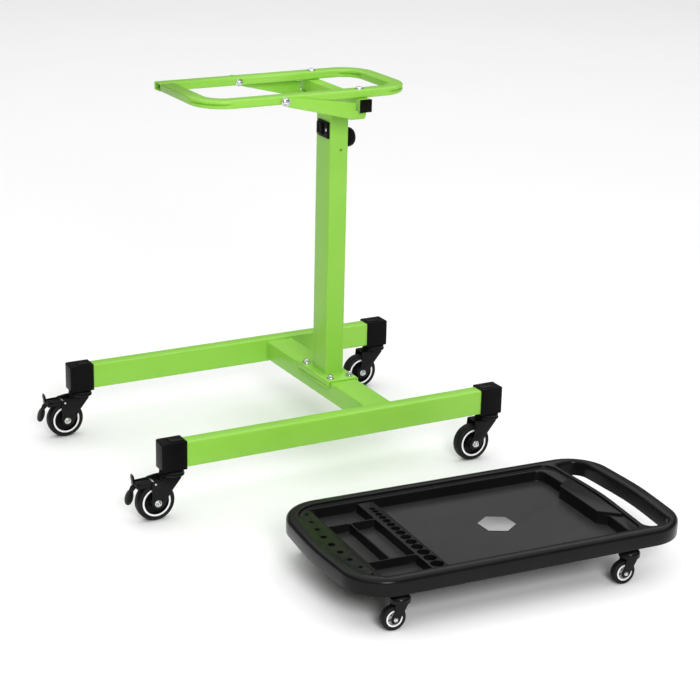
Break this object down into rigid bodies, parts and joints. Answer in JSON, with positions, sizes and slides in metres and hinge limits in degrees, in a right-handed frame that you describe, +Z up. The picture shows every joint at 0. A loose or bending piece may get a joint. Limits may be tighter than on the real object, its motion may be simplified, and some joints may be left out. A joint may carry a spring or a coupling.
{
  "type": "rolling work stand with detachable tool tray",
  "caption": "H-base rolling stand with a telescopic column and a tilting ring carrier, parked beside its low rolling tool tray with compartments, socket rail and carrying handle.",
  "frame": {"origin": "middle of the whole footprint, on the floor", "axes": "+Z up; the stand's legs run along X, with the braked casters at -X; the tray is parked on the -Y side"},
  "size_m": [0.831, 1.114, 0.7446],
  "materials": {
    "green_powder_coat": "bright yellow-green gloss powder coat",
    "black_plastic": "satin black moulded plastic",
    "tray_plastic": "charcoal black moulded plastic, fine texture, satin",
    "black_steel": "black e-coated pressed steel, satin",
    "zinc_plate": "bright zinc plating",
    "tyre_rubber": "black rubber",
    "wheel_hub": "black hub with a white ring on each face",
    "grey_plate": "plain light grey",
    "black_nylon": "black nylon"
  },
  "bodies": {
    "base": {"column_bush": "black_nylon", "column_cover": "black_plastic", "column_saddle": "green_powder_coat", "column_tube": "green_powder_coat", "cross_bar": "green_powder_coat", "leg_cap_left_far": "black_plastic", "leg_cap_left_near": "black_plastic", "leg_cap_right_far": "black_plastic", "leg_cap_right_near": "black_plastic", "leg_far": "green_powder_coat", "leg_near": "green_powder_coat", "saddle_bolt_1": "zinc_plate", "saddle_bolt_2": "zinc_plate", "saddle_bolt_3": "zinc_plate", "saddle_bolt_4": "zinc_plate"},
    "mast": {"inner_mast": "green_powder_coat", "ring_support": "green_powder_coat", "pivot_bolt_near": "zinc_plate", "pivot_bolt_far": "zinc_plate"},
    "ring": {"ring_frame": "green_powder_coat", "cross_tube": "green_powder_coat", "cross_tube_cap_near": "black_plastic", "cross_tube_cap_far": "black_plastic"},
    "knob": {"lock_knob": "black_plastic"},
    "tray": {"tray_shell": "tray_plastic", "tray_badge": "grey_plate"},
    "stand_left_near_fork": {"stand_caster_left_near_fork": "black_steel", "stand_caster_left_near_axle": "zinc_plate"},
    "stand_left_near_wheel": {"stand_caster_left_near_hub": "wheel_hub", "stand_caster_left_near_tyre": "tyre_rubber"},
    "stand_left_near_brake": {"stand_caster_left_near_brake": "black_steel"},
    "stand_left_far_fork": {"stand_caster_left_far_fork": "black_steel", "stand_caster_left_far_axle": "zinc_plate"},
    "stand_left_far_wheel": {"stand_caster_left_far_hub": "wheel_hub", "stand_caster_left_far_tyre": "tyre_rubber"},
    "stand_left_far_brake": {"stand_caster_left_far_brake": "black_steel"},
    "stand_right_near_fork": {"stand_caster_right_near_fork": "black_steel", "stand_caster_right_near_axle": "zinc_plate"},
    "stand_right_near_wheel": {"stand_caster_right_near_hub": "wheel_hub", "stand_caster_right_near_tyre": "tyre_rubber"},
    "stand_right_far_fork": {"stand_caster_right_far_fork": "black_steel", "stand_caster_right_far_axle": "zinc_plate"},
    "stand_right_far_wheel": {"stand_caster_right_far_hub": "wheel_hub", "stand_caster_right_far_tyre": "tyre_rubber"},
    "tray_left_near_fork": {"tray_caster_left_near_fork": "black_steel", "tray_caster_left_near_axle": "zinc_plate"},
    "tray_left_near_wheel": {"tray_caster_left_near_hub": "wheel_hub", "tray_caster_left_near_tyre": "tyre_rubber"},
    "tray_left_far_fork": {"tray_caster_left_far_fork": "black_steel", "tray_caster_left_far_axle": "zinc_plate"},
    "tray_left_far_wheel": {"tray_caster_left_far_hub": "wheel_hub", "tray_caster_left_far_tyre": "tyre_rubber"},
    "tray_right_near_fork": {"tray_caster_right_near_fork": "black_steel", "tray_caster_right_near_axle": "zinc_plate"},
    "tray_right_near_wheel": {"tray_caster_right_near_hub": "wheel_hub", "tray_caster_right_near_tyre": "tyre_rubber"},
    "tray_right_far_fork": {"tray_caster_right_far_fork": "black_steel", "tray_caster_right_far_axle": "zinc_plate"},
    "tray_right_far_wheel": {"tray_caster_right_far_hub": "wheel_hub", "tray_caster_right_far_tyre": "tyre_rubber"}
  },
  "joints": [
    {"name": "column_height", "type": "slide", "parent": "base", "child": "mast", "axis": [0, 0, 1], "range_m": [0, 0.3]},
    {"name": "knob_turn", "type": "hinge", "parent": "base", "child": "knob", "pos_m": [0.12298, 0.29899, 0.6281], "axis": [1, 0, 0], "range_deg": [0, 720]},
    {"name": "ring_tilt", "type": "hinge", "parent": "mast", "child": "ring", "pos_m": [-0.03952, 0.29899, 0.7352], "axis": [0, -1, 0], "range_deg": [0, 85]},
    {"name": "tray_roll", "type": "slide", "parent": "base", "child": "tray", "axis": [0.9986, -0.0523, 0], "range_m": [-0.3, 0.3]},
    {"name": "stand_left_near_swivel", "type": "hinge", "parent": "base", "child": "stand_left_near_fork", "pos_m": [-0.32632, 0.06499, 0], "axis": [0, 0, 1], "continuous": true},
    {"name": "stand_left_near_roll", "type": "hinge", "parent": "stand_left_near_fork", "child": "stand_left_near_wheel", "pos_m": [-0.36082, 0.06499, 0.0375], "axis": [0, 1, 0], "continuous": true},
    {"name": "stand_left_near_brake_pedal", "type": "hinge", "parent": "stand_left_near_fork", "child": "stand_left_near_brake", "pos_m": [-0.36532, 0.06499, 0.0763], "axis": [0, -1, 0], "range_deg": [0, 8]},
    {"name": "stand_left_far_swivel", "type": "hinge", "parent": "base", "child": "stand_left_far_fork", "pos_m": [-0.32632, 0.53299, 0], "axis": [0, 0, 1], "continuous": true},
    {"name": "stand_left_far_roll", "type": "hinge", "parent": "stand_left_far_fork", "child": "stand_left_far_wheel", "pos_m": [-0.36082, 0.53299, 0.0375], "axis": [0, 1, 0], "continuous": true},
    {"name": "stand_left_far_brake_pedal", "type": "hinge", "parent": "stand_left_far_fork", "child": "stand_left_far_brake", "pos_m": [-0.36532, 0.53299, 0.0763], "axis": [0, -1, 0], "range_deg": [0, 8]},
    {"name": "stand_right_near_swivel", "type": "hinge", "parent": "base", "child": "stand_right_near_fork", "pos_m": [0.36228, 0.06499, 0], "axis": [0, 0, 1], "continuous": true},
    {"name": "stand_right_near_roll", "type": "hinge", "parent": "stand_right_near_fork", "child": "stand_right_near_wheel", "pos_m": [0.32778, 0.06499, 0.0375], "axis": [0, 1, 0], "continuous": true},
    {"name": "stand_right_far_swivel", "type": "hinge", "parent": "base", "child": "stand_right_far_fork", "pos_m": [0.36228, 0.53299, 0], "axis": [0, 0, 1], "continuous": true},
    {"name": "stand_right_far_roll", "type": "hinge", "parent": "stand_right_far_fork", "child": "stand_right_far_wheel", "pos_m": [0.32778, 0.53299, 0.0375], "axis": [0, 1, 0], "continuous": true},
    {"name": "tray_left_near_swivel", "type": "hinge", "parent": "tray", "child": "tray_left_near_fork", "pos_m": [-0.17228, -0.51473, 0], "axis": [0, 0, 1], "continuous": true},
    {"name": "tray_left_near_roll", "type": "hinge", "parent": "tray_left_near_fork", "child": "tray_left_near_wheel", "pos_m": [-0.18407, -0.51412, 0.022], "axis": [0.0523, 0.9986, 0], "continuous": true},
    {"name": "tray_left_far_swivel", "type": "hinge", "parent": "tray", "child": "tray_left_far_fork", "pos_m": [-0.15522, -0.18918, 0], "axis": [0, 0, 1], "continuous": true},
    {"name": "tray_left_far_roll", "type": "hinge", "parent": "tray_left_far_fork", "child": "tray_left_far_wheel", "pos_m": [-0.16701, -0.18856, 0.022], "axis": [0.0523, 0.9986, 0], "continuous": true},
    {"name": "tray_right_near_swivel", "type": "hinge", "parent": "tray", "child": "tray_right_near_fork", "pos_m": [0.2751, -0.53818, 0], "axis": [0, 0, 1], "continuous": true},
    {"name": "tray_right_near_roll", "type": "hinge", "parent": "tray_right_near_fork", "child": "tray_right_near_wheel", "pos_m": [0.26332, -0.53756, 0.022], "axis": [0.0523, 0.9986, 0], "continuous": true},
    {"name": "tray_right_far_swivel", "type": "hinge", "parent": "tray", "child": "tray_right_far_fork", "pos_m": [0.29216, -0.21263, 0], "axis": [0, 0, 1], "continuous": true},
    {"name": "tray_right_far_roll", "type": "hinge", "parent": "tray_right_far_fork", "child": "tray_right_far_wheel", "pos_m": [0.28038, -0.21201, 0.022], "axis": [0.0523, 0.9986, 0], "continuous": true}
  ]
}
